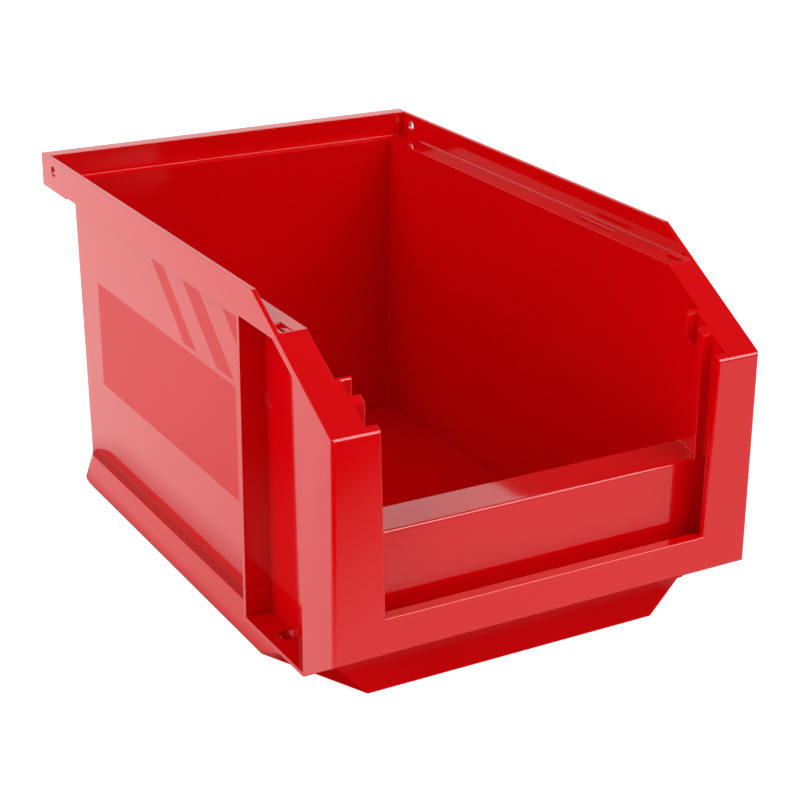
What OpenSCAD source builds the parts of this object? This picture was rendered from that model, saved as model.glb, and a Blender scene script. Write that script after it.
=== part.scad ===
// Open-front stacking bin, injection moulded in one piece of polypropylene.
// Each structural section of the moulding is a solid of its own, and the
// sections meet face to face. +X is right, +Y is to the rear, +Z is up. The
// origin is under the middle of the bin, on the surface that it stands on.

/* [Overall size] */
// Width across the two side flanges
bin_w = 150; // [146:1:158]
// Length from the front frame to the rear rim
bin_l = 230; // [215:1:250]
// Height from the foot rails to the rim
bin_h = 125; // [122:1:135]

/* [Shell] */
// Thickness of the walls, ledges and webs
wall_t = 2; // [1.8:0.1:2.2]
// Step from the flange plane in to the side wall
side_inset = 8.5; // [8:0.1:9]
// Step from the rear rim in to the rear wall
rear_inset = 9; // [8.8:0.1:9.6]
// Inward lean of a side wall, top to bottom
side_draft = 1; // [0.6:0.1:1.4]
// Inward lean of the rear wall, top to bottom
rear_draft = 2.4; // [1:0.1:3]
// Height of the upper surface of the floor
floor_z = 3; // [2.6:0.1:3.4]

/* [Rim] */
// Height of the upstand above the stacking ledge
rim_h = 9; // [7:0.5:10]
// Thickness of the upstand and of the post side plates
rim_t = 1.6; // [1.4:0.1:1.8]
// Depth of the rear rim, front to back
rear_rim_w = 6; // [5.6:0.1:6.4]
// Length of the deeper skirt at each rear corner
skirt_l = 23; // [18:1:26]
// Drop of that skirt below the flange
skirt_drop = 0.9; // [0.5:0.1:1.2]
// Diameter of the hole through each rear corner of the upstand
rim_hole_d = 4; // [3.6:0.1:4.4]
// Distance of that hole from the rear face
rim_hole_back = 12; // [10:0.5:14]

/* [Slanted front] */
// Height of the front posts
post_h = 95.5; // [92:0.5:98]
// Length over which the rim slopes down to the posts
slant_run = 50.4; // [46:0.2:54]
// Height of the edge strip under the sloping cap
strip_h = 3.6; // [3:0.1:4]

/* [Front frame] */
// Width of a front post at its top
post_w = 15.7; // [15:0.1:16.4]
// Extra width of a front post at the bar
post_flare = 1.7; // [1:0.1:2.2]
// Depth of the front plate
front_t = 2.4; // [2:0.1:2.8]
// Depth of a post's side plate, front to back
post_d = 20.3; // [19.5:0.1:22]
// Lower edge of the front frame
frame_z = 24.2; // [23:0.1:26]
// Upper edge of the front bar
bar_z = 36; // [34.5:0.1:38]
// Depth of the front bar, front to back
bar_d = 4.4; // [4:0.1:4.8]

/* [Label panel and lip] */
// Setback of the label panel from the front face
panel_y = 9.3; // [9.3:0.1:9.6]
// Upper surface of the lip over the panel
lip_z = 59.3; // [56:0.1:64]
// Rear edge of the lip
lip_back = 24.8; // [24:0.1:26]
// Bottom of the label slot behind the bar
slot_z = 30.8; // [30.4:0.1:31]

/* [Window guides] */
// Depth of the guide rib, front to back
rib_d = 2.9; // [2.6:0.1:3.2]
// Setback of the stop tab from the front face
tab_y = 17.3; // [17.2:0.1:17.6]
// Depth of the stop tab, front to back
tab_d = 1.2; // [1:0.1:1.6]
// Height of the stop tab
tab_h = 8; // [6:0.5:10]
// Extra wall thickness behind the guide channels
pad_t = 1.2; // [0.8:0.1:1.4]

/* [Grip pockets] */
// Front face of the rear fin of a pocket
fin_y = 60; // [56:0.5:66]
// Upper surface of the pocket floor
pocket_z = 13; // [12.6:0.1:13.2]
// Diameter of the hole in the pocket floor
pocket_hole_d = 6; // [5.5:0.1:6.4]
// Distance of that hole from the front face
pocket_hole_y = 43.5; // [38:0.5:48]

/* [Foot rails] */
// Height of the foot rails
foot_h = 11.4; // [11:0.1:11.4]
// Clearance of the foot rails inside the upstand, each side
foot_gap = 1.4; // [1.2:0.1:1.8]
// Outward flare of a foot rail from top to bottom
foot_flare = 2.8; // [2:0.1:3.2]
// Setback of the front foot from the front face
chin_y = 19.3; // [18.8:0.1:19.8]
// Height of the front foot
chin_h = 17; // [16:0.5:20]
// Width of the front foot at its bottom edge
chin_w = 106.2; // [102:0.5:110]
// Extra width of the front foot at rail height, each side
chin_flare = 10.6; // [9:0.1:11]
// Where the chamfered front corner reaches the side, from the front face
facet_y = 60; // [56:0.5:64]

/* [Hidden] */

// Points on a full circle, for the bores and round corners
$fn = 64;
// Overshoot of a cutting solid
over = 1;
// Colours of the moulding, one per family of sections
red = "#c90b12";
deep_red = "#a80a10";
light_red = "#d8232a";

half_w = bin_w / 2;
ledge_z = bin_h - rim_h;
flange_z = ledge_z - wall_t - 0.2;
rim_in = half_w - rim_t;
wall_out = half_w - side_inset;
wall_in = wall_out - wall_t;
pad_in = wall_in - pad_t;
rear_out = bin_l - rear_inset;
rear_in = rear_out - wall_t;
rear_rim_in = bin_l - rear_rim_w;
floor_bottom = floor_z - wall_t;
lip_bottom = lip_z - wall_t;
front_out = lip_back - wall_t;
front_draft = 1.5;
slope = (bin_h - post_h) / slant_run;
cap_back = (ledge_z - post_h) / slope;
tab_back = tab_y + tab_d;
guide_in = half_w - post_w;
foot_out = rim_in - foot_gap;
foot_top_out = foot_out - foot_flare;
foot_corner_r = 10;
foot_edge = 1;
pocket_t = pocket_z - foot_h;
ramp_slope = (frame_z - foot_h) / post_d;
facet_turn = atan2(facet_y - chin_y, foot_out - chin_w / 2);
facet_lean = atan2(chin_flare * sin(facet_turn), foot_h);
ledge_slot = [3, 7.8];
ledge_slot_x = half_w - 4.5;
ledge_slot_y = 39.8;
long_slot = [2, 20];
long_slot_x = half_w - 5.6;
long_slot_y = 84;

// Height of the sloping top at a distance y behind the front face
function slope_z(y) = post_h + slope * y;
// Underside of the pocket ramps at a distance y behind the front face
function ramp_z(y) = frame_z - ramp_slope * y;

// Draws in coordinates that start at the front face, then centres the bin
module placed() {
    translate([0, -bin_l / 2, 0]) children();
}
// Extrudes an outline drawn in X and Z from y0 to y1
module along_y(y0, y1) {
    translate([0, y1, 0]) rotate([90, 0, 0]) linear_extrude(y1 - y0) children();
}
// Extrudes an outline drawn in Y and Z from x0 to x1
module along_x(x0, x1) {
    translate([x0, 0, 0]) rotate([90, 0, 90]) linear_extrude(x1 - x0) children();
}
module box(lo, hi) {
    translate(lo) cube(hi - lo);
}
// Space between the side wall faces, leaning by the side draft
module between_sides(at_ledge) {
    at_floor = at_ledge - side_draft;
    along_y(-over, bin_l + over)
        polygon([[-at_floor, 0], [at_floor, 0], [at_ledge, ledge_z], [-at_ledge, ledge_z]]);
}
// Everything in front of the rear wall face that reaches y at ledge height
module before_rear(y) {
    along_x(-half_w, half_w)
        polygon([[-over, 0], [y - rear_draft, 0], [y, ledge_z], [-over, ledge_z]]);
}
// Everything behind the front wall face that reaches y under the lip
module behind_front(y) {
    along_x(-half_w, half_w)
        polygon([[y + front_draft, 0], [bin_l, 0], [bin_l, ledge_z], [y, ledge_z]]);
}

// --- shell ---------------------------------------------------------------

module floor_panel() {
    color(deep_red) placed() difference() {
        intersection() {
            between_sides(wall_in);
            before_rear(rear_in);
            behind_front(lip_back);
            box([-half_w, 0, floor_bottom], [half_w, bin_l, floor_z]);
        }
        both_facets(wall_t);
    }
}
// Side view of a side wall: sloped at the front, stepped up under the frame
module wall_outline() {
    polygon([
        [front_t, ramp_z(front_t)], [front_t, slope_z(front_t) - wall_t],
        [cap_back, ledge_z - wall_t], [cap_back, flange_z], [bin_l, flange_z],
        [bin_l, floor_bottom], [front_out + front_draft, floor_bottom],
        [front_out + front_draft, foot_h], [chin_y, foot_h], [chin_y, ramp_z(chin_y)]
    ]);
}
// Side view of the thicker wall that backs the guide channels
module pad_outline() {
    polygon([
        [front_t, lip_z], [front_t, slope_z(front_t) - wall_t],
        [tab_back, slope_z(tab_back) - wall_t], [tab_back, lip_z]
    ]);
}
module right_wall() {
    color(red) placed() {
        intersection() {
            difference() {
                between_sides(wall_out);
                between_sides(wall_in);
                facet_cut(wall_t);
            }
            before_rear(rear_out);
            along_x(0, bin_w) wall_outline();
        }
        intersection() {
            difference() {
                between_sides(wall_in);
                between_sides(pad_in);
            }
            along_x(0, bin_w) pad_outline();
        }
    }
}
module left_wall() mirror([1, 0, 0]) right_wall();

module rear_wall() {
    color(red) placed() intersection() {
        between_sides(wall_in);
        difference() {
            before_rear(rear_out);
            before_rear(rear_in);
        }
        box([-half_w, 0, floor_bottom], [half_w, bin_l, flange_z]);
    }
}
module front_wall() {
    color(red) placed() intersection() {
        between_sides(wall_in);
        difference() {
            behind_front(front_out);
            behind_front(lip_back);
            both_facets(wall_t);
        }
        box([-half_w, 0, floor_bottom], [half_w, bin_l, lip_bottom]);
    }
}

// --- front frame, label panel and lip ------------------------------------

module front_lip() {
    color(light_red) placed() intersection() {
        between_sides(wall_in);
        box([-half_w, panel_y, lip_bottom], [half_w, lip_back, lip_z]);
    }
}
module label_panel() {
    color(red) placed() intersection() {
        between_sides(wall_in);
        box([-half_w, panel_y, slot_z - wall_t], [half_w, panel_y + wall_t, lip_bottom]);
    }
}
module label_slot_floor() {
    color(deep_red) placed() intersection() {
        between_sides(wall_in);
        box([-half_w, front_t, slot_z - wall_t], [half_w, panel_y, slot_z]);
    }
}
module front_bar() {
    bar_half = guide_in - post_flare;
    color(red) placed() {
        box([-bar_half, 0, frame_z], [bar_half, front_t, bar_z]);
        box([-bar_half, front_t, slot_z], [bar_half, bar_d, bar_z]);
    }
}
module right_front_post() {
    color(light_red) placed() intersection() {
        along_y(0, front_t) polygon([
            [half_w, 0], [half_w, bin_h], [guide_in, bin_h], [guide_in, post_h],
            [guide_in - post_flare, bar_z], [guide_in - post_flare, 0]
        ]);
        along_x(0, bin_w) polygon([
            [0, frame_z], [0, post_h], [front_t, slope_z(front_t)], [front_t, ramp_z(front_t)]
        ]);
    }
}
module left_front_post() mirror([1, 0, 0]) right_front_post();

module right_side_plate() {
    color(red) placed() along_x(rim_in, half_w) polygon([
        [front_t, ramp_z(front_t)], [front_t, slope_z(front_t) - strip_h],
        [post_d, slope_z(post_d) - strip_h], [post_d, ramp_z(post_d)]
    ]);
}
module left_side_plate() mirror([1, 0, 0]) right_side_plate();

// Sloping cap between the post and the ledge, with its edge strip
module right_slope_cap() {
    color(light_red) placed() {
        difference() {
            along_x(0, rim_in) cap_side(cap_back, wall_t);
            between_sides(pad_in);
            intersection() {
                between_sides(wall_in);
                box([0, tab_back, 0], [half_w, bin_l, bin_h]);
            }
        }
        along_x(rim_in, half_w) cap_side(cap_back, strip_h);
    }
}
// Side view of a sloping plate that starts behind the front plate
module cap_side(y_end, drop) {
    polygon([
        [front_t, slope_z(front_t) - drop], [front_t, slope_z(front_t)],
        [y_end, slope_z(y_end)], [y_end, slope_z(y_end) - drop]
    ]);
}
module left_slope_cap() mirror([1, 0, 0]) right_slope_cap();

// --- window guides --------------------------------------------------------

module right_guide_rib() {
    color(red) placed() intersection() {
        box([guide_in, panel_y, lip_z], [half_w, panel_y + rib_d, bin_h]);
        guide_room();
    }
}
module left_guide_rib() mirror([1, 0, 0]) right_guide_rib();

// Small tab behind the rear guide channel, chamfered below
module right_stop_tab() {
    tab_top = slope_z(tab_back);
    color(red) placed() intersection() {
        along_y(tab_y, tab_back) polygon([
            [guide_in, tab_top], [half_w, tab_top], [half_w, tab_top - tab_h - half_w + guide_in],
            [guide_in, tab_top - tab_h]
        ]);
        guide_room();
    }
}
module left_stop_tab() mirror([1, 0, 0]) right_stop_tab();

// Space between the two thickened walls, under the slope of the caps
module guide_room() {
    intersection() {
        between_sides(pad_in);
        along_x(-half_w, half_w) polygon([
            [0, 0], [0, slope_z(0)], [bin_l, slope_z(bin_l)], [bin_l, 0]
        ]);
    }
}

// --- rim and stacking ledge ----------------------------------------------

module right_rim() {
    skirt_y = bin_l - skirt_l;
    strip_back = (flange_z + strip_h - post_h) / slope;
    color(light_red) placed() difference() {
        along_x(rim_in, half_w) polygon([
            [cap_back, ledge_z - strip_h], [cap_back, ledge_z], [slant_run, bin_h],
            [bin_l, bin_h], [bin_l, flange_z - skirt_drop], [skirt_y, flange_z - skirt_drop],
            [skirt_y - skirt_drop, flange_z], [strip_back, flange_z]
        ]);
        translate([rim_in - over, bin_l - rim_hole_back, (bin_h + ledge_z) / 2])
            rotate([0, 90, 0]) cylinder(h = rim_t + 2 * over, d = rim_hole_d);
    }
}
module left_rim() mirror([1, 0, 0]) right_rim();

module right_ledge() {
    color(red) placed() difference() {
        box([wall_in, cap_back, flange_z], [rim_in, rear_rim_in, ledge_z]);
        translate([ledge_slot_x - ledge_slot[0] / 2, ledge_slot_y - ledge_slot[1] / 2, flange_z - over])
            cube([ledge_slot[0], ledge_slot[1], wall_t + 3 * over]);
        translate([long_slot_x - long_slot[0] / 2, long_slot_y - long_slot[1] / 2, flange_z - over])
            cube([long_slot[0], long_slot[1], wall_t + 3 * over]);
    }
}
module left_ledge() mirror([1, 0, 0]) right_ledge();

module rear_ledge() {
    color(red) placed() box([-wall_in, rear_in, flange_z], [wall_in, rear_rim_in, ledge_z]);
}
// Rear rim: an inverted channel with a deeper outer skirt
module rear_rim() {
    color(light_red) placed() along_x(-rim_in, rim_in) polygon([
        [rear_rim_in, flange_z], [rear_rim_in, bin_h], [bin_l, bin_h],
        [bin_l, flange_z - skirt_drop], [bin_l - rim_t, flange_z - skirt_drop],
        [bin_l - rim_t, bin_h - rim_t], [rear_rim_in + rim_t, bin_h - rim_t],
        [rear_rim_in + rim_t, flange_z]
    ]);
}

// --- grip pockets ----------------------------------------------------------

module right_fin() {
    color(red) placed() difference() {
        box([wall_in - side_draft, fin_y, foot_h], [half_w, fin_y + rim_t, flange_z]);
        between_sides(wall_out);
    }
}
module left_fin() mirror([1, 0, 0]) right_fin();

// Pocket floor, with a ramp that closes the hollow behind the front post
module right_pocket_floor() {
    color(deep_red) placed() difference() {
        union() {
            box([0, post_d, foot_h], [half_w, fin_y, pocket_z]);
            along_x(0, rim_in) polygon([
                [front_t, ramp_z(front_t)], [post_d, foot_h], [post_d, pocket_z],
                [front_t, ramp_z(front_t) + pocket_t]
            ]);
        }
        between_sides(wall_out);
        pocket_hole();
    }
}
// Bore through the pocket floor and the top of the foot rail below it
module pocket_hole() {
    translate([half_w - 6.7, pocket_hole_y, foot_h - wall_t - over])
        cylinder(h = pocket_t + wall_t + 2 * over, d = pocket_hole_d);
}
module left_pocket_floor() mirror([1, 0, 0]) right_pocket_floor();

// --- foot rails --------------------------------------------------------------

// Cross section of a foot rail, with x measured from the corner centre line
module foot_profile(x0) {
    polygon([
        [0, foot_h], [foot_top_out - x0, foot_h], [foot_out - x0, wall_t],
        [foot_out - x0 - foot_edge, 0], [foot_out - x0 - foot_edge - wall_t, 0],
        [foot_top_out - x0 - wall_t, foot_h - wall_t], [0, foot_h - wall_t]
    ]);
}
// Space below rail height outside the chamfered right front corner
module facet_cut(inset) {
    intersection() {
        translate([chin_w / 2, chin_y, 0]) rotate([0, 0, facet_turn]) rotate([facet_lean, 0, 0])
            translate([-bin_l, inset - bin_l, -bin_l]) cube([2 * bin_l, bin_l, 2 * bin_l]);
        box([0, 0, -over], [bin_w, bin_l, foot_h]);
    }
}
module both_facets(inset) {
    facet_cut(inset);
    mirror([1, 0, 0]) facet_cut(inset);
}
module right_foot_rail() {
    corner_x = foot_out - foot_corner_r;
    corner_y = rear_out - rear_draft - 0.6 - foot_corner_r;
    color(red) placed() difference() {
        union() {
            translate([corner_x, 0, 0]) along_y(chin_y, corner_y) foot_profile(corner_x);
            translate([corner_x, corner_y, 0]) intersection() {
                rotate_extrude() foot_profile(corner_x);
                box([0, 0, 0], [bin_w, bin_l, foot_h]);
            }
        }
        between_sides(wall_out);
        facet_cut(wall_t);
        pocket_hole();
    }
}
module left_foot_rail() mirror([1, 0, 0]) right_foot_rail();

// Chamfered plate that joins the front foot to the foot rail
module right_foot_corner() {
    color(red) placed() intersection() {
        difference() {
            facet_cut(wall_t);
            facet_cut(0);
        }
        along_y(chin_y, bin_l) polygon([
            [0, 0], [foot_out - foot_edge, 0], [foot_out, wall_t], [foot_top_out, foot_h], [0, foot_h]
        ]);
    }
}
module left_foot_corner() mirror([1, 0, 0]) right_foot_corner();

module front_foot() {
    color(red) placed() difference() {
        intersection() {
            between_sides(wall_in);
            along_x(-half_w, half_w) polygon([
                [chin_y, 0], [chin_y, chin_h], [bin_l, chin_h], [bin_l, chin_h - wall_t],
                [chin_y + wall_t, chin_h - wall_t], [chin_y + wall_t, 0]
            ]);
        }
        behind_front(front_out);
        both_facets(wall_t);
    }
}

floor_panel();
left_wall();
right_wall();
rear_wall();
front_wall();
front_lip();
label_panel();
label_slot_floor();
front_bar();
left_front_post();
right_front_post();
left_side_plate();
right_side_plate();
left_slope_cap();
right_slope_cap();
left_guide_rib();
right_guide_rib();
left_stop_tab();
right_stop_tab();
left_rim();
right_rim();
left_ledge();
right_ledge();
rear_rim();
rear_ledge();
left_fin();
right_fin();
left_pocket_floor();
right_pocket_floor();
left_foot_rail();
right_foot_rail();
left_foot_corner();
right_foot_corner();
front_foot();
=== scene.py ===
import math

import bmesh
import bpy
import numpy as np
from mathutils import Matrix, Vector
from mathutils.bvhtree import BVHTree
from mathutils.interpolate import poly_3d_calc


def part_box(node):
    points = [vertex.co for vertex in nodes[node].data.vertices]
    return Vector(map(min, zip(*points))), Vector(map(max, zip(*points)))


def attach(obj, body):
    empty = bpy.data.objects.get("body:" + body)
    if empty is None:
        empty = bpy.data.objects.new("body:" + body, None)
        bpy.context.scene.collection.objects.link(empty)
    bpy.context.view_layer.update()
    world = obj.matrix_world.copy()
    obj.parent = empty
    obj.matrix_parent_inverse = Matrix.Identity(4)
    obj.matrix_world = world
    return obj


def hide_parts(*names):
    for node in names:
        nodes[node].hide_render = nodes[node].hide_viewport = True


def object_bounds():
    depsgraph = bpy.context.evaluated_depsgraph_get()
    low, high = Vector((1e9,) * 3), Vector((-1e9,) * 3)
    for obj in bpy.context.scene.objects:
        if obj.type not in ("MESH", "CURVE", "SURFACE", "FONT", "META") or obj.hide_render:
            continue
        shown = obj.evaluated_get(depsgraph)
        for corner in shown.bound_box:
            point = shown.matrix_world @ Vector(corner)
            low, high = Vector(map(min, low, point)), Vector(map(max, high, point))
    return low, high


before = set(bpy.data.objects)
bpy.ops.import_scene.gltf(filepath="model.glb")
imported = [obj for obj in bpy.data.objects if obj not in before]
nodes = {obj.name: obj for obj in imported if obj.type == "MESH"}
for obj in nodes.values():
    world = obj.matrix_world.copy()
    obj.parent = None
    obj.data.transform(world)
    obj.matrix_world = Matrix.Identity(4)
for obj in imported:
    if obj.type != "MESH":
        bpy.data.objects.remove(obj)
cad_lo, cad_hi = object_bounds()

MM = 0.001
scene = bpy.context.scene


# ---------------------------------------------------------------- moulding
# The sections are joined into one skin, its edges are rounded and its inner
# corners filled, as in a mould, and the skin is divided again along the
# sections, so every section keeps a closed piece of its own. Places in the
# rules below are in mm: x from the middle, y from the front, z from the floor.

HAIR = 0.004 * MM  # lets sections that meet face to face join
REACH = 1.1 * MM  # how far a section takes in the filled corners around it
MERGE = 0.14 * MM  # corners of neighbouring sections closer than this are one
SHORT = 0.05 * MM  # edges shorter than this are dropped
FLAT = math.radians(1.5)  # faces that turn less than this are one
EDGE = math.radians(9)  # an edge that turns less than this isn't rounded
SHARP = math.radians(40)  # an edge that turns more than this isn't smoothed
FOLD = math.radians(150)  # an edge that turns more than this is folded
FOLD_LENGTH = 0.3 * MM  # shorter folds don't show
FOLD_AREA = 0.03 * MM**2  # nor do folds of smaller faces
TRIES = 12  # passes of easing the rounding where it folds
EASE = 0.6  # what a pass leaves of a radius that folds
HALF_LENGTH = 115 * MM
WELD = 0.002 * MM  # corners of one section closer than this are one
SAME = 1e-3  # faces whose normals differ by less than this share a plane
LEDGE_LEVEL = 110  # mm, the ledges and the rim are above this
LEDGE_CUT = 103 * MM  # where the ledge is cut across, from the middle
PLAIN_CORNERS = 12  # a ledge face with more corners than this is cut


def swollen_copy(obj, grow):
    """The node's surface with every face moved out by grow."""
    bm = bmesh.new()
    bm.from_mesh(obj.data)
    bmesh.ops.remove_doubles(bm, verts=bm.verts, dist=WELD)
    bmesh.ops.recalc_face_normals(bm, faces=bm.faces)
    bm.normal_update()
    moves = []
    for vert in bm.verts:
        planes = []
        for face in vert.link_faces:
            if all((face.normal - n).length > SAME for n in planes):
                planes.append(face.normal.copy())
        aim = np.linalg.lstsq(
            np.array([list(n) for n in planes]), np.full(len(planes), grow), rcond=None
        )[0]
        moves.append(Vector(aim))
    for vert, move in zip(bm.verts, moves):
        vert.co += move
    return bm


def as_object(name, bm):
    mesh = bpy.data.meshes.new(name)
    bm.to_mesh(mesh)
    bm.free()
    obj = bpy.data.objects.new(name, mesh)
    scene.collection.objects.link(obj)
    return obj


def applied(obj):
    """The object's mesh with its modifiers applied."""
    graph = bpy.context.evaluated_depsgraph_get()
    mesh = bpy.data.meshes.new_from_object(obj.evaluated_get(graph))
    obj.modifiers.clear()
    old, obj.data = obj.data, mesh
    bpy.data.meshes.remove(old)
    return obj


def combine(obj, other, operation):
    mod = obj.modifiers.new("combine", "BOOLEAN")
    mod.operation = operation
    mod.object = other
    mod.solver = "MANIFOLD"
    return applied(obj)


def split_ledge(bm):
    """Cuts the ledge that runs round three sides, so it isn't one U face."""
    for face in list(bm.faces):
        high = face.calc_center_median().z > LEDGE_LEVEL * MM
        if high and face.normal.z > 0.99 and len(face.verts) > PLAIN_CORNERS:
            bmesh.ops.bisect_plane(
                bm,
                geom=[face, *face.edges, *face.verts],
                plane_co=(0, LEDGE_CUT, 0),
                plane_no=(0, 1, 0),
            )


def one_skin():
    """All the sections joined into one closed surface."""
    skin = None
    for name in sorted(nodes):
        part = as_object("part_" + name, swollen_copy(nodes[name], HAIR))
        if skin is None:
            skin = part
        else:
            combine(skin, part, "UNION")
            bpy.data.objects.remove(part)
    bm = bmesh.new()
    bm.from_mesh(skin.data)
    bmesh.ops.remove_doubles(bm, verts=bm.verts, dist=MERGE)
    bmesh.ops.dissolve_degenerate(bm, edges=bm.edges, dist=SHORT)
    bmesh.ops.dissolve_limit(bm, angle_limit=FLAT, verts=bm.verts, edges=bm.edges)
    split_ledge(bm)
    bm.to_mesh(skin.data)
    bm.free()
    return skin


# Roundings in mm
WIDEST = 3.0  # what a bevel weight of 1 stands for
POST_EDGE = 1.3  # the posts' outer uprights
POST_TOP = 0.8  # the top edges of the posts
LIP_EDGE = 0.9  # the front edge of the lip over the label panel
FOOT_EDGE = 0.35  # the rim of the underside
RAIL_EDGE = 1.2  # the outer edges of the foot rails
OTHER_EDGE = 0.45  # any other outer edge
RIM_FILL = 0.8  # inner corners of the ledges and the rim
INSIDE_FILL = 2.4  # inner corners of the tray
OTHER_FILL = 0.5  # any other inner corner
SHARE = 0.3  # those two are never more than this much of the edge's length
SHORTEST = 0.9  # an edge shorter than this stays sharp


def radius_of(edge):
    """The edge's rounding in mm, from where it is on the moulding."""
    mid = (edge.verts[0].co + edge.verts[1].co) / 2 / MM
    along = (edge.verts[1].co - edge.verts[0].co).normalized()
    x, y, z = abs(mid.x), mid.y + HALF_LENGTH / MM, mid.z
    length = edge.calc_length() / MM
    upright = abs(along.z) > 0.9
    crosswise = abs(along.x) > 0.9
    if length < SHORTEST:
        return 0.0
    if edge.is_convex:
        if upright and x > 74.5 and y < 1:
            return POST_EDGE
        if crosswise and y < 1 and z > 90:
            return POST_TOP
        if crosswise and y < 10 and 58 < z < 60:
            return LIP_EDGE
        if z < 0.5:
            return FOOT_EDGE
        if z < 3 and x > 71.5:
            return RAIL_EDGE
        return min(OTHER_EDGE, length * SHARE)
    inside = x < 66 and 26 < y < 219 and 2.5 < z < 112
    if inside and (upright or z < 4):
        return INSIDE_FILL
    if z > LEDGE_LEVEL:
        return RIM_FILL
    return min(OTHER_FILL, length * SHARE)


def in_triangles(mesh):
    """The mesh cut into triangles; the caller frees it."""
    bm = bmesh.new()
    bm.from_mesh(mesh)
    bmesh.ops.triangulate(bm, faces=bm.faces, ngon_method="EAR_CLIP")
    return bm


def folded_places(mesh):
    """Where rounding made the surface cross or fold back on itself."""
    bm = in_triangles(mesh)
    places = []
    for edge in bm.edges:
        if edge.calc_length() > FOLD_LENGTH and edge.calc_face_angle(0) > FOLD:
            if min(f.calc_area() for f in edge.link_faces) > FOLD_AREA:
                places += [v.co.copy() for v in edge.verts]
    bm.free()
    return places


def rounded(skin):
    """The skin with its edges rounded, and less so where that would fold."""
    ease, trial = {}, None
    for attempt in range(TRIES):
        if trial is not None:
            bpy.data.objects.remove(trial)
        trial = skin.copy()
        trial.data = skin.data.copy()
        scene.collection.objects.link(trial)
        bm = bmesh.new()
        bm.from_mesh(trial.data)
        bm.normal_update()
        layer = bm.edges.layers.float.new("bevel_weight_edge")
        for edge in bm.edges:
            if edge.is_manifold and edge.calc_face_angle(0.0) > EDGE:
                edge[layer] = radius_of(edge) * ease.get(edge.index, 1) / WIDEST
        bm.to_mesh(trial.data)
        mod = trial.modifiers.new("rounding", "BEVEL")
        mod.limit_method = "WEIGHT"
        mod.width = WIDEST * MM
        mod.segments = 3
        mod.use_clamp_overlap = False
        mod.loop_slide = True
        applied(trial)
        places = folded_places(trial.data)
        if not places:
            break
        for edge in bm.edges:
            reach = (0.3 + 0.1 * attempt) * MM + 1.6 * edge[layer] * WIDEST * MM
            if edge[layer] and any(
                (v.co - q).length < reach for v in edge.verts for q in places
            ):
                ease[edge.index] = ease.get(edge.index, 1) * EASE
        bm.free()
    bpy.data.objects.remove(skin)
    return trial


def near(a, b):
    """Whether two nodes' boxes come within REACH of each other."""
    (alo, ahi), (blo, bhi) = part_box(a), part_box(b)
    return all(
        alo[i] < bhi[i] + REACH and blo[i] < ahi[i] + REACH for i in range(3)
    )


def divided(skin):
    """The skin cut along the sections, one closed piece for each node."""
    made = {}
    order = sorted(nodes)
    later = {
        name: as_object("later_" + name, swollen_copy(nodes[name], 2 * HAIR))
        for name in order
    }
    for i, name in enumerate(order):
        cell = as_object("cell", swollen_copy(nodes[name], REACH))
        for other in order[i + 1 :]:
            if near(name, other):
                combine(cell, later[other], "DIFFERENCE")
        piece = skin.copy()
        piece.data = skin.data.copy()
        piece.name = name + "_moulded"
        scene.collection.objects.link(piece)
        combine(piece, cell, "INTERSECT")
        combine(skin, cell, "DIFFERENCE")
        bpy.data.objects.remove(cell)
        made[name] = piece
    for obj in later.values():
        bpy.data.objects.remove(obj)
    return made


def shading_of(skin):
    """Where the whole skin's triangles are, and how light turns over them."""
    whole = skin.copy()
    whole.data = skin.data.copy()
    scene.collection.objects.link(whole)
    for face in whole.data.polygons:
        face.use_smooth = True
    whole.data.set_sharp_from_angle(angle=SHARP)
    whole.modifiers.new("even_shading", "WEIGHTED_NORMAL").keep_sharp = True
    mesh = applied(whole).data
    mesh.calc_loop_triangles()
    points = [v.co.copy() for v in mesh.vertices]
    tris = [tuple(t.vertices) for t in mesh.loop_triangles]
    turns = [
        [mesh.corner_normals[i].vector.copy() for i in t.loops]
        for t in mesh.loop_triangles
    ]
    bpy.data.objects.remove(whole)
    return BVHTree.FromPolygons(points, tris), points, tris, turns


INWARD = 0.01  # how far towards the face's middle a corner's shading is read
TOUCHING = 0.01 * MM  # how near the skin's triangle has to be
ALIGNED = 0.99  # cosine of the angle that it may differ by
TURNED = 0.4  # least cosine between the shading and the face


def shade_like(mesh, shading):
    """Gives a piece's faces the whole skin's shading, so no seam shows."""
    tree, points, tris, turns = shading
    normals = [None] * len(mesh.loops)
    for face in mesh.polygons:
        for i in face.loop_indices:
            corner = mesh.vertices[mesh.loops[i].vertex_index].co
            at = corner.lerp(face.center, INWARD)
            best, turn = ALIGNED, face.normal
            for _, normal, tri, _ in tree.find_nearest_range(at, TOUCHING):
                if normal.dot(face.normal) > best:
                    best = normal.dot(face.normal)
                    weights = poly_3d_calc([points[v] for v in tris[tri]], at)
                    turn = sum((w * n for w, n in zip(weights, turns[tri])), Vector())
            if not turn.length > 0.5 or turn.normalized().dot(face.normal) < TURNED:
                turn = face.normal
            normals[i] = turn.normalized()
    mesh.normals_split_custom_set(normals)


def finished(name, piece, shading):
    """Keeps the piece in the CAD box, shades it, and puts it in its node's place."""
    for vert in piece.data.vertices:
        for i in range(3):
            vert.co[i] = min(max(vert.co[i], cad_lo[i]), cad_hi[i])
    for face in piece.data.polygons:
        face.use_smooth = True
    shade_like(piece.data, shading)
    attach(piece, "root")
    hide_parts(name)


skin = rounded(one_skin())
shading = shading_of(skin)
cut = in_triangles(skin.data)
cut.to_mesh(skin.data)
cut.free()
pieces = divided(skin)
bpy.data.objects.remove(skin)
for name, piece in pieces.items():
    finished(name, piece, shading)


# ---------------------------------------------------------------- material

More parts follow.
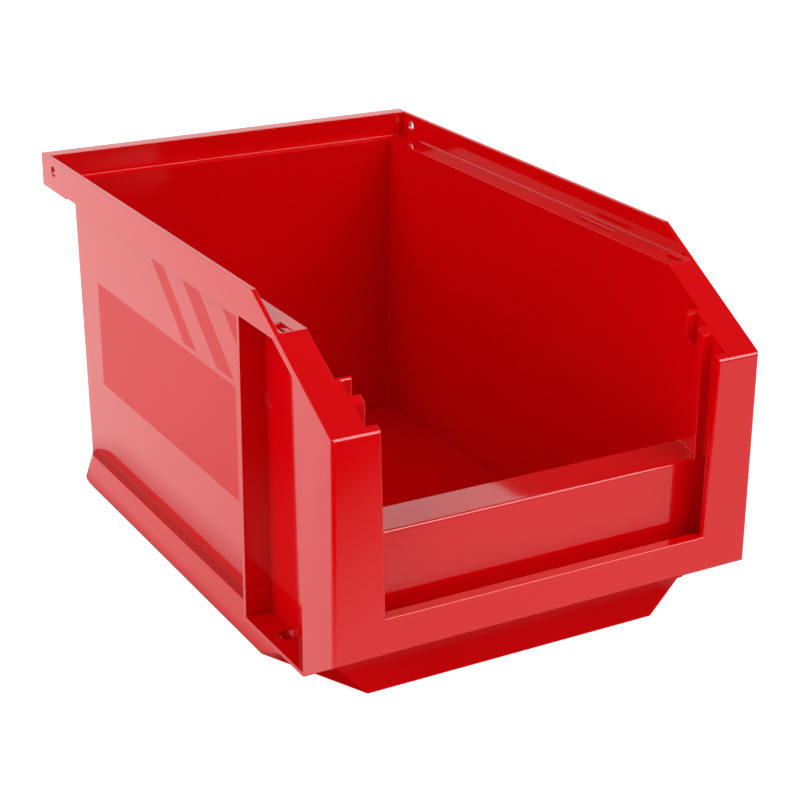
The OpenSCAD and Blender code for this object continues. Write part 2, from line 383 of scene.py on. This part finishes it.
def tree_of(name):
    mat = bpy.data.materials.new(name)
    mat.use_nodes = True
    nt = mat.node_tree
    nt.nodes.clear()
    out = nt.nodes.new("ShaderNodeOutputMaterial")
    shader = nt.nodes.new("ShaderNodeBsdfPrincipled")
    nt.links.new(shader.outputs["BSDF"], out.inputs["Surface"])
    return mat, nt, shader


class Maths:
    """Short names for the math nodes of a material."""

    def __init__(self, nt):
        self.nt = nt

    def op(self, kind, a, b=None, c=None, clamp=False):
        node = self.nt.nodes.new("ShaderNodeMath")
        node.operation = kind
        node.use_clamp = clamp
        for i, v in enumerate((a, b, c)):
            if v is None:
                continue
            if isinstance(v, (int, float)):
                node.inputs[i].default_value = v
            else:
                self.nt.links.new(v, node.inputs[i])
        return node.outputs[0]

    def line(self, a, b, c, clamp=False):
        """a times b plus c."""
        return self.op("MULTIPLY_ADD", a, b, c, clamp)

    def band(self, value, lo, hi, soft):
        """1 between lo and hi, fading to 0 over soft."""
        up = self.line(value, 1 / soft, 0.5 - lo / soft, clamp=True)
        down = self.line(value, -1 / soft, 0.5 + hi / soft, clamp=True)
        return self.op("MULTIPLY", up, down)


GLOSS = 0.045  # roughness of the polished faces
HAZE = 0.05  # what its slow change over the faces adds to it
SATIN = 0.42  # what the satin patches add to it
GLOSS_GRAIN, SATIN_GRAIN = 0.004, 0.05  # share of fine grain in the bump
FLOW_HEIGHT = 0.35  # share of the broad waves that the moulding leaves
FADE = 0.4 * MM  # soft edge of a satin patch
PATCH_Y, PATCH_Z = (83, 202), (42, 81.8)  # mm, the satin rectangle
BARS_Z = (83.4, 106)  # mm, the slanted bars above it
BARS = ((112.8, 123.4), (83.3, 97.1), (55, 66))  # mm along y at their feet
LEAN = 26 / 23  # how far along y a bar goes for its height
WALL_X = (65.2, 67.0)  # mm from the middle, the outer face of the side walls


def object_noise(nt, coords, scale, detail):
    noise = nt.nodes.new("ShaderNodeTexNoise")
    noise.inputs["Scale"].default_value = scale
    noise.inputs["Detail"].default_value = detail
    nt.links.new(coords.outputs["Object"], noise.inputs["Vector"])
    return noise.outputs["Fac"]


def satin_mask(nt, m, coords):
    """1 on the plain satin rectangle and bars of the two side walls."""
    split = nt.nodes.new("ShaderNodeSeparateXYZ")
    nt.links.new(coords.outputs["Object"], split.inputs[0])
    y = m.op("ADD", split.outputs["Y"], HALF_LENGTH)
    z = split.outputs["Z"]
    side = m.op("ABSOLUTE", split.outputs["X"])
    on_wall = m.band(side, WALL_X[0] * MM, WALL_X[1] * MM, 0.05 * MM)
    patch = m.op(
        "MULTIPLY",
        m.band(y, PATCH_Y[0] * MM, PATCH_Y[1] * MM, FADE),
        m.band(z, PATCH_Z[0] * MM, PATCH_Z[1] * MM, FADE),
    )
    foot_y = m.op("ADD", y, m.line(z, -LEAN, BARS_Z[0] * MM * LEAN))
    bars = None
    for lo, hi in BARS:
        bar = m.band(foot_y, lo * MM, hi * MM, FADE)
        bars = bar if bars is None else m.op("MAXIMUM", bars, bar)
    bars = m.op("MULTIPLY", bars, m.band(z, BARS_Z[0] * MM, BARS_Z[1] * MM, FADE))
    return m.op("MULTIPLY", m.op("MAXIMUM", patch, bars), on_wall)


def red_plastic():
    mat, nt, shader = tree_of("red_polypropylene")
    m = Maths(nt)
    coords = nt.nodes.new("ShaderNodeTexCoord")
    satin = satin_mask(nt, m, coords)

    cloud = object_noise(nt, coords, scale=22, detail=3)
    tint = nt.nodes.new("ShaderNodeMix")
    tint.data_type = "RGBA"
    tint.inputs["A"].default_value = (0.56, 0.0005, 0.0018, 1)
    tint.inputs["B"].default_value = (0.62, 0.0007, 0.0026, 1)
    nt.links.new(cloud, tint.inputs["Factor"])
    nt.links.new(tint.outputs["Result"], shader.inputs["Base Color"])
    haze = m.line(cloud, HAZE, GLOSS)
    nt.links.new(m.line(satin, SATIN, haze), shader.inputs["Roughness"])

    grain = object_noise(nt, coords, scale=2600, detail=2)
    flow = object_noise(nt, coords, scale=38, detail=1.5)
    grain_height = m.line(satin, SATIN_GRAIN, GLOSS_GRAIN)
    height = m.line(grain, grain_height, m.op("MULTIPLY", flow, FLOW_HEIGHT))
    bump = nt.nodes.new("ShaderNodeBump")
    bump.inputs["Strength"].default_value = 0.25
    bump.inputs["Distance"].default_value = 0.4 * MM
    nt.links.new(height, bump.inputs["Height"])
    nt.links.new(bump.outputs["Normal"], shader.inputs["Normal"])
    shader.inputs["IOR"].default_value = 1.49
    shader.inputs["Specular IOR Level"].default_value = 0.5
    return mat


plastic = red_plastic()
for piece in pieces.values():
    piece.data.materials.clear()
    piece.data.materials.append(plastic)


# ---------------------------------------------------------------- studio

PAPER = 0.52  # the paper's own light
PAPER_SEEN = 0.3  # more of it towards the camera
PAPER_TONE = 0.55
SHEET, SHEET_REAR = 1.0, 0.4  # brightness of the painted lit sheet that the floor shows only in reflections, and what its rear end adds
SHEET_END = (0.205, 0.08)  # metres towards the camera where the painted sheet ends, and fades into painted shade
SHADOWED_FOOTPRINT = ((0.078, 0.02), (0.125, 0.03))  # metres, half sizes and fades of the painted shadow over the bin's footprint in reflections


def studio_floor():
    """Pale paper with a glow of its own, white to the camera. In reflections it
    shows a painted reflection: a lit sheet, brighter towards the rear, with painted
    shadow over the bin's own footprint and painted shade over the unlit room in
    front of it on the left."""
    bm = bmesh.new()
    bmesh.ops.create_grid(bm, x_segments=24, y_segments=24, size=6)
    mesh = bpy.data.meshes.new("studio_floor")
    bm.to_mesh(mesh)
    bm.free()
    floor = bpy.data.objects.new("studio_floor", mesh)
    floor.location.z = cad_lo.z - 0.05 * MM
    scene.collection.objects.link(floor)
    mat, nt, shader = tree_of("studio_paper_painted_glow")
    noise = nt.nodes.new("ShaderNodeTexNoise")
    noise.inputs["Scale"].default_value = 300
    bump = nt.nodes.new("ShaderNodeBump")
    bump.inputs["Strength"].default_value = 0.02
    nt.links.new(noise.outputs["Fac"], bump.inputs["Height"])
    nt.links.new(bump.outputs["Normal"], shader.inputs["Normal"])
    m = Maths(nt)
    path = nt.nodes.new("ShaderNodeLightPath")
    coords = nt.nodes.new("ShaderNodeTexCoord")
    split = nt.nodes.new("ShaderNodeSeparateXYZ")
    nt.links.new(coords.outputs["Object"], split.inputs[0])
    x, y = split.outputs["X"], split.outputs["Y"]
    glossy = path.outputs["Is Glossy Ray"]
    # painted shade: beyond the sheet's end, towards the camera and to the left,
    # reflections see the floor dark
    towards_camera = m.line(y, -0.87, m.op("MULTIPLY", x, -0.5))
    end, fade = SHEET_END
    painted_dark_front = m.op("SUBTRACT", 1.0, m.band(towards_camera, end, 9, fade))
    # painted shadow: reflections see the floor dark over the bin's own footprint
    (half_x, fade_x), (half_y, fade_y) = SHADOWED_FOOTPRINT
    painted_footprint_shadow = m.op(
        "MULTIPLY",
        m.band(m.op("ABSOLUTE", x), -1, half_x, fade_x),
        m.band(m.op("ABSOLUTE", y), -1, half_y, fade_y),
    )
    # painted reflection: in reflections the floor glows as a lit sheet, brighter towards
    # the rear
    sheet = m.line(m.line(y, 3.7, 0.2, clamp=True), SHEET_REAR, SHEET)
    painted_lit_part = m.op("MULTIPLY", painted_dark_front, m.op("SUBTRACT", 1.0, painted_footprint_shadow))
    sheet = m.op("MULTIPLY", sheet, painted_lit_part)
    seen = m.line(path.outputs["Is Camera Ray"], PAPER_SEEN, PAPER)
    glow = m.line(m.op("SUBTRACT", sheet, seen), glossy, seen)
    nt.links.new(glow, shader.inputs["Emission Strength"])
    # in reflections the paper has no colour of its own and shows only the painted glow
    tone = m.line(glossy, -PAPER_TONE, PAPER_TONE)
    nt.links.new(tone, shader.inputs["Base Color"])
    shader.inputs["Emission Color"].default_value = (1, 1, 1, 1)
    shader.inputs["Roughness"].default_value = 0.9
    shader.inputs["Specular IOR Level"].default_value = 0.1
    floor.data.materials.append(mat)


def soft_sun(name, source, strength, spread):
    """A large far diffuser, spread in degrees, left out of the reflections."""
    data = bpy.data.lights.new(name, "SUN")
    data.energy = strength
    data.angle = math.radians(spread)
    lamp = bpy.data.objects.new(name, data)
    lamp.rotation_mode = "QUATERNION"
    lamp.rotation_quaternion = Vector(source).to_track_quat("Z", "Y")
    lamp.visible_glossy = False
    scene.collection.objects.link(lamp)


SOFTBOX = Vector((0.45, -0.61, 0.66))  # where the mirrored softbox hangs
SOFTBOX_COSINE = 0.915  # how far it reaches from there
SOFTBOX_GLOW = 9.0
HORIZON = 0.62  # the height, as a sine, up to which the backdrop is lit
BACKDROP, ROOM = 1.4, 0.10  # mirrored light of the backdrop and of the rest
AMBIENT, AMBIENT_LOW = 0.20, 0.15  # light on the plastic, and more of it low


def studio_world():
    """White to the eye and a soft even light on the plastic. In reflections
    only the backdrop low behind the bin and the softbox are bright."""
    world = bpy.data.worlds.new("studio")
    scene.world = world
    world.use_nodes = True
    nt = world.node_tree
    nt.nodes.clear()
    m = Maths(nt)
    out = nt.nodes.new("ShaderNodeOutputWorld")
    back = nt.nodes.new("ShaderNodeBackground")
    path = nt.nodes.new("ShaderNodeLightPath")
    coords = nt.nodes.new("ShaderNodeTexCoord")
    split = nt.nodes.new("ShaderNodeSeparateXYZ")
    nt.links.new(coords.outputs["Generated"], split.inputs[0])
    low = m.band(split.outputs["Z"], -1, HORIZON, 0.25)
    right = m.op("MULTIPLY", split.outputs["X"], 2.0)
    backdrop = m.line(split.outputs["Y"], 2.2, right, clamp=True)
    lit = m.line(m.op("MULTIPLY", backdrop, low), BACKDROP, ROOM)
    ambient = m.line(low, AMBIENT_LOW, AMBIENT)
    aim = nt.nodes.new("ShaderNodeVectorMath")
    aim.operation = "DOT_PRODUCT"
    aim.inputs[1].default_value = SOFTBOX.normalized()
    nt.links.new(coords.outputs["Generated"], aim.inputs[0])
    softbox = m.band(aim.outputs["Value"], SOFTBOX_COSINE, 2, 0.06)
    mirrored = m.line(softbox, SOFTBOX_GLOW, lit)
    glossy = path.outputs["Is Glossy Ray"]
    level = m.line(m.op("SUBTRACT", mirrored, ambient), glossy, ambient)
    strength = m.op("MAXIMUM", level, path.outputs["Is Camera Ray"])
    nt.links.new(strength, back.inputs["Strength"])
    nt.links.new(back.outputs["Background"], out.inputs["Surface"])


studio_floor()
studio_world()
soft_sun("left_box", source=(-0.82, -0.08, 0.57), strength=2.05, spread=55)
soft_sun("right_box", source=(0.30, -0.66, 0.69), strength=1.95, spread=55)

scene.view_settings.view_transform = "Standard"
scene.view_settings.look = "None"
scene.view_settings.exposure = 0.0


CAMERA_AT = Vector((-305.1, -561.8, 307.5)) * MM
CAMERA_TURN = (29.48, 21.64, 0.42)  # degrees of yaw, pitch down, and roll
CAMERA_LENS = 88.78
CAMERA_SHIFT = (-2.9 / 800, -0.3 / 800)


def camera():
    data = bpy.data.cameras.new("camera")
    data.lens = CAMERA_LENS
    data.sensor_width = 36
    data.clip_start, data.clip_end = 0.01, 50
    cam = bpy.data.objects.new("camera", data)
    scene.collection.objects.link(cam)
    yaw, pitch, roll = (math.radians(a) for a in CAMERA_TURN)
    level = math.cos(pitch)
    ahead = Vector((math.sin(yaw) * level, math.cos(yaw) * level, -math.sin(pitch)))
    right = ahead.cross(Vector((0, 0, 1))).normalized()
    up = right.cross(ahead)
    rolled_right = right * math.cos(roll) + up * math.sin(roll)
    rolled_up = up * math.cos(roll) - right * math.sin(roll)
    turn = Matrix((rolled_right, rolled_up, -ahead)).transposed()
    cam.matrix_world = Matrix.Translation(CAMERA_AT) @ turn.to_4x4()
    data.shift_x, data.shift_y = CAMERA_SHIFT
    scene.camera = cam


camera()
